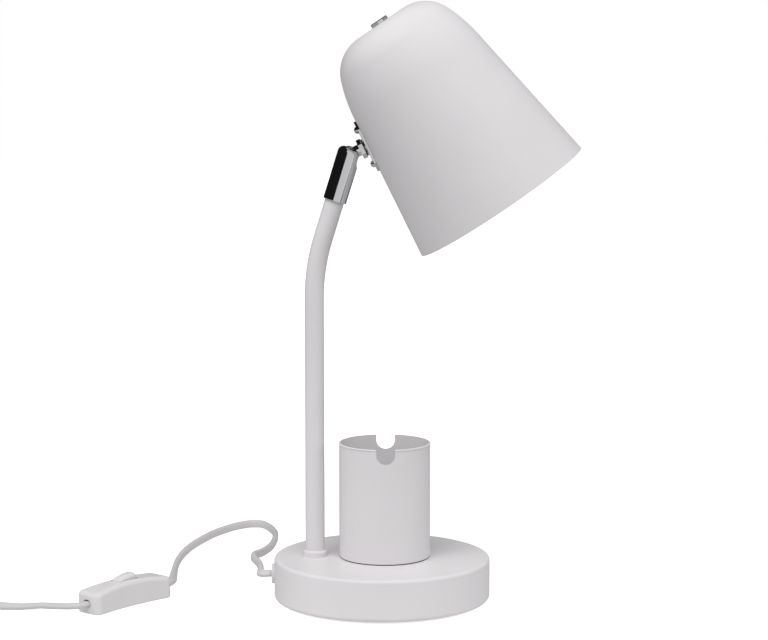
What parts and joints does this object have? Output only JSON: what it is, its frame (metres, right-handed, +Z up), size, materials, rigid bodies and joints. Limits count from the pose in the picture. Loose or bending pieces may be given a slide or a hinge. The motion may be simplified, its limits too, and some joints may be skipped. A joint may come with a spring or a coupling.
{
  "type": "desk lamp with pen cup base",
  "caption": "Desk lamp: a conical shade on a slotted ball joint and bent tube, over a round weighted base that carries a notched pen cup, with an inline switch and a coiled lead.",
  "frame": {"origin": "centre of the foot pad's underside, on the surface that the lamp stands on", "axes": "+Z up; +X towards the side that the shade reaches over; the lead leaves on -X; +Y away from the viewer of the picture"},
  "size_m": [0.5076, 0.4153, 0.4142],
  "materials": {
    "powder_coat": "white satin powder coat on steel sheet and tube",
    "chrome_plate": "bright chrome plate",
    "zinc_steel": "bright zinc plate",
    "iron_ballast": "rough black casting",
    "turned_brass": "plain turned and stamped brass",
    "foam_pad": "white closed-cell foam",
    "dark_rubber": "black rubber",
    "cord_sheath": "white flexible sheath of a flat two-core lead",
    "core_insulation": "soft insulation of the stripped cores",
    "gland_plastic": "white nylon",
    "switch_plastic": "white moulded plastic, fine satin",
    "rocker_plastic": "white polished plastic",
    "plug_plastic": "white moulded plastic",
    "pin_plate": "nickel plate",
    "tie_band": "black woven hook-and-loop band",
    "holder_thermoset": "white heat-proof plastic",
    "holder_ceramic": "glazed ceramic",
    "opal_glass": "opal glass",
    "bulb_metal": "plain aluminium"
  },
  "bodies": {
    "stand": {"base_ballast": "iron_ballast", "base_shell": "powder_coat", "bottom_plate": "zinc_steel", "bottom_screws": "zinc_steel", "clamp_screws": "zinc_steel", "coil_tie": "tie_band", "cord_clamp": "gland_plastic", "cord_coil": "cord_sheath", "cord_gland": "gland_plastic", "cord_to_coil": "cord_sheath", "cord_to_switch": "cord_sheath", "cup_gasket": "dark_rubber", "cup_screw": "zinc_steel", "cup_washer": "dark_rubber", "flex_in_base": "core_insulation", "flex_in_tube": "core_insulation", "foot_pad": "foam_pad", "lamp_tube": "powder_coat", "lock_washer": "zinc_steel", "pen_cup": "powder_coat", "plug_body": "plug_plastic", "plug_pins": "pin_plate", "switch_cores": "core_insulation", "switch_lower": "switch_plastic", "switch_screws": "zinc_steel", "switch_terminals": "turned_brass", "switch_upper": "switch_plastic", "tube_collar": "powder_coat", "tube_nipple": "zinc_steel", "tube_nut": "zinc_steel", "tube_top_nipple": "zinc_steel"},
    "sleeve": {"joint_sleeve": "chrome_plate", "sleeve_bush": "turned_brass", "ball_seat": "turned_brass"},
    "ball": {"ball_stem": "chrome_plate", "stem_nut": "chrome_plate", "stem_washer": "dark_rubber", "stem_lock_nut": "zinc_steel"},
    "head": {"shade": "powder_coat", "joint_plate": "chrome_plate", "plate_screws": "chrome_plate", "plate_nuts": "zinc_steel", "finial_nut": "chrome_plate", "holder_nipple": "chrome_plate", "holder_nut": "zinc_steel", "holder_cap": "holder_thermoset", "holder_body": "holder_thermoset", "holder_insert": "holder_ceramic", "screw_shell": "turned_brass", "centre_contact": "turned_brass", "head_lead": "core_insulation"},
    "bulb": {"bulb_globe": "opal_glass", "bulb_cap": "bulb_metal", "bulb_contact": "bulb_metal"},
    "rocker": {"switch_rocker": "rocker_plastic"}
  },
  "joints": [
    {"name": "head_swivel", "type": "hinge", "parent": "stand", "child": "sleeve", "pos_m": [-0.02281, 0, 0.30951], "axis": [0.2957, 0, 0.9553], "range_deg": [-170, 170]},
    {"name": "head_tilt", "type": "hinge", "parent": "sleeve", "child": "ball", "pos_m": [-0.02281, 0, 0.30951], "axis": [0, 1, 0], "range_deg": [-46.5, 43]},
    {"name": "head_twist", "type": "hinge", "parent": "ball", "child": "head", "pos_m": [-0.02281, 0, 0.30951], "axis": [0.8973, 0, 0.4415], "range_deg": [-150, 150]},
    {"name": "bulb_turn", "type": "hinge", "parent": "head", "child": "bulb", "pos_m": [-0.00116, 0, 0.39891], "axis": [0.5635, 0, -0.8261], "range_deg": [-350, 0]},
    {"name": "rocker_press", "type": "hinge", "parent": "stand", "child": "rocker", "pos_m": [-0.1778, -0.0161, 0.0144], "axis": [-0.7615, 0.6481, 0], "range_deg": [0, 20]}
  ]
}
